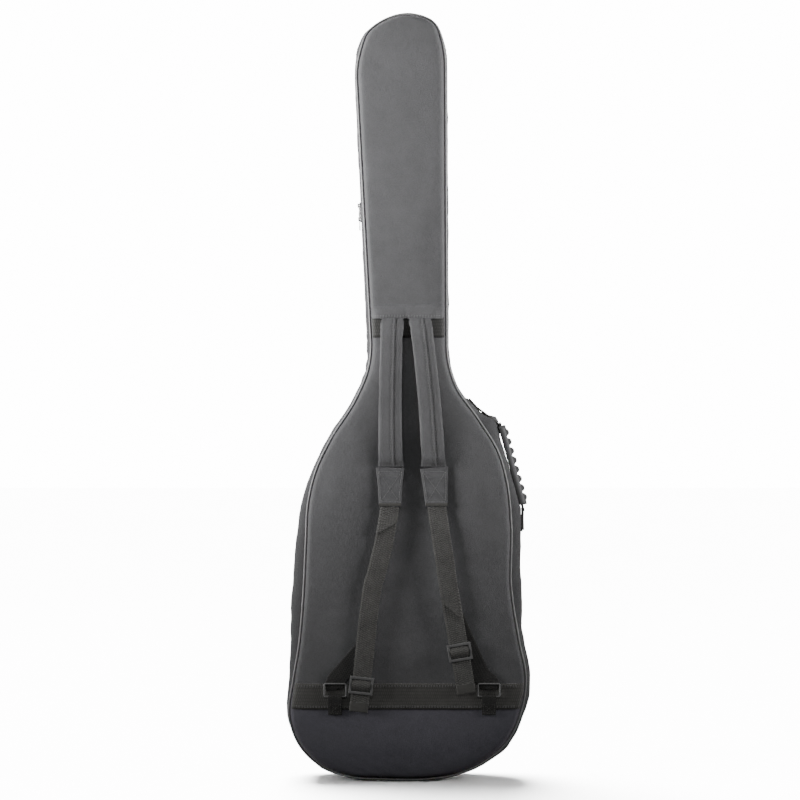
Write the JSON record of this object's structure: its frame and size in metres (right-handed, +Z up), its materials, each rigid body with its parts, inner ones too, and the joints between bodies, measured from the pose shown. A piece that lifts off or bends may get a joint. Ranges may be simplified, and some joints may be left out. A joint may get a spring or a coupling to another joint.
{
  "type": "padded gig bag",
  "caption": "Soft padded case for a long-necked bass guitar, with a zipped front, two shoulder straps, a ribbed side handle and a flat front pocket.",
  "frame": {"origin": "centre of the bag's box in plan, at the bottom edge it stands on", "axes": "+Z up the neck, -Y the strap side, +X right as the strap side is seen"},
  "size_m": [0.382, 0.108, 1.2],
  "materials": {
    "cloth": "woven polyester",
    "wear_cloth": "coated woven polyester",
    "webbing": "ribbed webbing",
    "trim": "piping cord",
    "lining": "thin woven lining",
    "padding": "foam padding",
    "hardware": "moulded, satin",
    "grip_rubber": "moulded, matte",
    "zip_metal": "painted, satin"
  },
  "bodies": {
    "shell": {"back_panel": "cloth", "bottom_wear_panel": "wear_cloth", "back_foam": "padding", "back_lining": "lining", "gusset_left": "cloth", "gusset_right": "cloth", "gusset_top": "cloth", "gusset_bottom": "cloth", "back_piping": "trim", "zip_tape_back": "webbing", "hinge_web": "cloth", "zip_stop_upper": "zip_metal", "zip_stop_lower": "zip_metal", "neck_tape": "webbing", "lower_tape": "webbing", "ring_tab_left": "webbing", "ring_tab_right": "webbing", "ring_webbing_left": "webbing", "ring_webbing_right": "webbing", "webbing_tail_left": "webbing", "webbing_tail_right": "webbing", "handle_patch_upper": "webbing", "handle_patch_lower": "webbing"},
    "front_flap": {"front_panel": "cloth", "front_foam": "padding", "front_lining": "lining", "front_gusset_left": "cloth", "front_gusset_right": "cloth", "front_gusset_top": "cloth", "front_gusset_bottom": "cloth", "front_piping": "trim", "zip_tape_front": "webbing", "pocket_panel": "cloth", "pocket_zip": "webbing"},
    "strap_left": {"shoulder_strap_left": "cloth", "strap_tab_left": "cloth", "strap_webbing_left": "webbing"},
    "strap_right": {"shoulder_strap_right": "cloth", "strap_tab_right": "cloth", "strap_webbing_right": "webbing"},
    "glide_left": {"tri_glide_left": "hardware"},
    "glide_right": {"tri_glide_right": "hardware"},
    "ring_left": {"ring_left": "hardware"},
    "ring_right": {"ring_right": "hardware"},
    "carry_handle": {"handle_grip": "grip_rubber", "handle_webbing": "webbing"},
    "main_slider_upper": {"zip_slider_upper": "zip_metal"},
    "main_slider_lower": {"zip_slider_lower": "zip_metal"},
    "main_pull_upper": {"zip_pull_upper": "zip_metal"},
    "main_pull_lower": {"zip_pull_lower": "zip_metal"},
    "pocket_slider": {"pocket_zip_slider": "zip_metal"},
    "pocket_pull": {"pocket_zip_pull": "zip_metal"}
  },
  "joints": [
    {"name": "front_opening", "type": "hinge", "parent": "shell", "child": "front_flap", "pos_m": [0.1925, 0.01095, 0.17], "axis": [0, 0, -1], "range_deg": [0, 140]},
    {"name": "strap_lift_left", "type": "hinge", "parent": "shell", "child": "strap_left", "pos_m": [-0.0262, -0.04205, 0.724], "axis": [-1, 0, 0], "range_deg": [0, 15]},
    {"name": "strap_lift_right", "type": "hinge", "parent": "shell", "child": "strap_right", "pos_m": [0.018, -0.04205, 0.724], "axis": [-1, 0, 0], "range_deg": [0, 15]},
    {"name": "glide_slide_left", "type": "slide", "parent": "shell", "child": "glide_left", "axis": [0.1079, 0, 0.9942], "range_m": [0, 0.1]},
    {"name": "glide_slide_right", "type": "slide", "parent": "shell", "child": "glide_right", "axis": [-0.1686, 0, 0.9857], "range_m": [-0.03, 0.07]},
    {"name": "ring_swing_left", "type": "hinge", "parent": "shell", "child": "ring_left", "pos_m": [-0.11405, -0.04465, 0.1335], "axis": [1, 0, 0], "range_deg": [0, 120]},
    {"name": "ring_swing_right", "type": "hinge", "parent": "shell", "child": "ring_right", "pos_m": [0.125, -0.04465, 0.1335], "axis": [1, 0, 0], "range_deg": [0, 120]},
    {"name": "handle_lift", "type": "slide", "parent": "shell", "child": "carry_handle", "axis": [0.9632, 0, 0.2686], "range_m": [0, 0.015]},
    {"name": "main_zip_upper", "type": "slide", "parent": "shell", "child": "main_slider_upper", "axis": [-0.0468, 0, 0.9989], "range_m": [0, 0.17]},
    {"name": "main_zip_lower", "type": "slide", "parent": "shell", "child": "main_slider_lower", "axis": [0.0468, 0, -0.9989], "range_m": [0, 0.17]},
    {"name": "main_pull_upper_swing", "type": "hinge", "parent": "main_slider_upper", "child": "main_pull_upper", "pos_m": [-0.0784, 0.01095, 0.90287], "axis": [0, 1, 0], "range_deg": [0, 150]},
    {"name": "main_pull_lower_swing", "type": "hinge", "parent": "main_slider_lower", "child": "main_pull_lower", "pos_m": [-0.07738, 0.01095, 0.88127], "axis": [0, 1, 0], "range_deg": [0, 150]},
    {"name": "pocket_zip_slide", "type": "slide", "parent": "front_flap", "child": "pocket_slider", "axis": [-1, 0, 0], "range_m": [0, 0.17]},
    {"name": "pocket_pull_swing", "type": "hinge", "parent": "pocket_slider", "child": "pocket_pull", "pos_m": [0.098, 0.05175, 0.4073], "axis": [0, 0, -1], "range_deg": [0, 150]}
  ]
}
